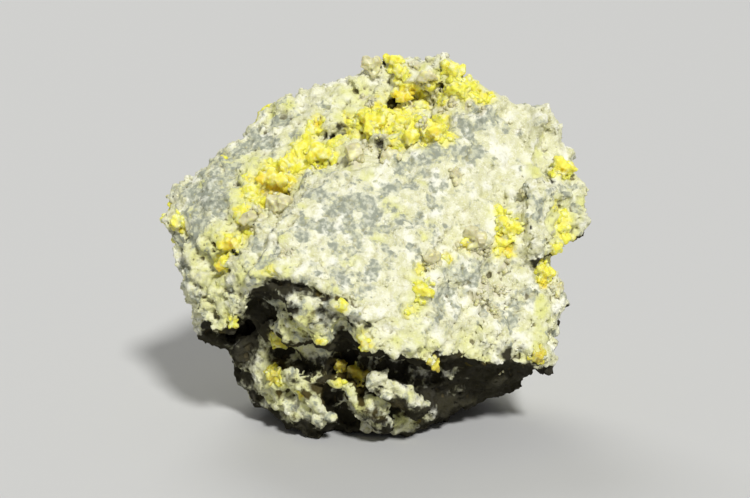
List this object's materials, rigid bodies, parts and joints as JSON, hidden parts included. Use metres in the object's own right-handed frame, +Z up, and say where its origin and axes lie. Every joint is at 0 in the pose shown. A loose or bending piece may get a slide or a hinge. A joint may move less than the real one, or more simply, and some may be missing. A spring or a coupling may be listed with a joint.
{
  "type": "native sulfur mineral specimen",
  "caption": "Loose block of grey limestone with a cream crust, veined and lined with bright yellow native sulfur crystals and pale calcite grains; rests on its flat broken underside.",
  "frame": {"origin": "on the ground under the middle of the block's box", "axes": "+Z up, +X to the right along the block's longest side and +Y to the back, as its big front face is looked at"},
  "size_m": [0.168, 0.1326, 0.1462],
  "materials": {
    "limestone": "matte",
    "sulfur": "satin",
    "calcite": "gloss"
  },
  "bodies": {
    "root": {"calcite_back": "calcite", "calcite_beside": "calcite", "calcite_crest": "calcite", "calcite_crest_grey": "calcite", "calcite_dark": "calcite", "calcite_face": "calcite", "calcite_large": "calcite", "calcite_left": "calcite", "calcite_left_back": "calcite", "calcite_pocket": "calcite", "calcite_pocket_low": "calcite", "calcite_right": "calcite", "matrix": "limestone", "sulfur_back_high": "sulfur", "sulfur_back_left": "sulfur", "sulfur_back_low": "sulfur", "sulfur_band_back": "sulfur", "sulfur_band_left": "sulfur", "sulfur_band_low": "sulfur", "sulfur_band_middle": "sulfur", "sulfur_band_top": "sulfur", "sulfur_brow": "sulfur", "sulfur_brow_right": "sulfur", "sulfur_cleft": "sulfur", "sulfur_cleft_small": "sulfur", "sulfur_crest_left": "sulfur", "sulfur_crest_right": "sulfur", "sulfur_face_low": "sulfur", "sulfur_face_pocket": "sulfur", "sulfur_heel": "sulfur", "sulfur_hollow": "sulfur", "sulfur_left_edge": "sulfur", "sulfur_left_orange": "sulfur", "sulfur_left_small": "sulfur", "sulfur_right_back": "sulfur", "sulfur_right_cavity": "sulfur", "sulfur_right_edge": "sulfur"}
  },
  "joints": []
}
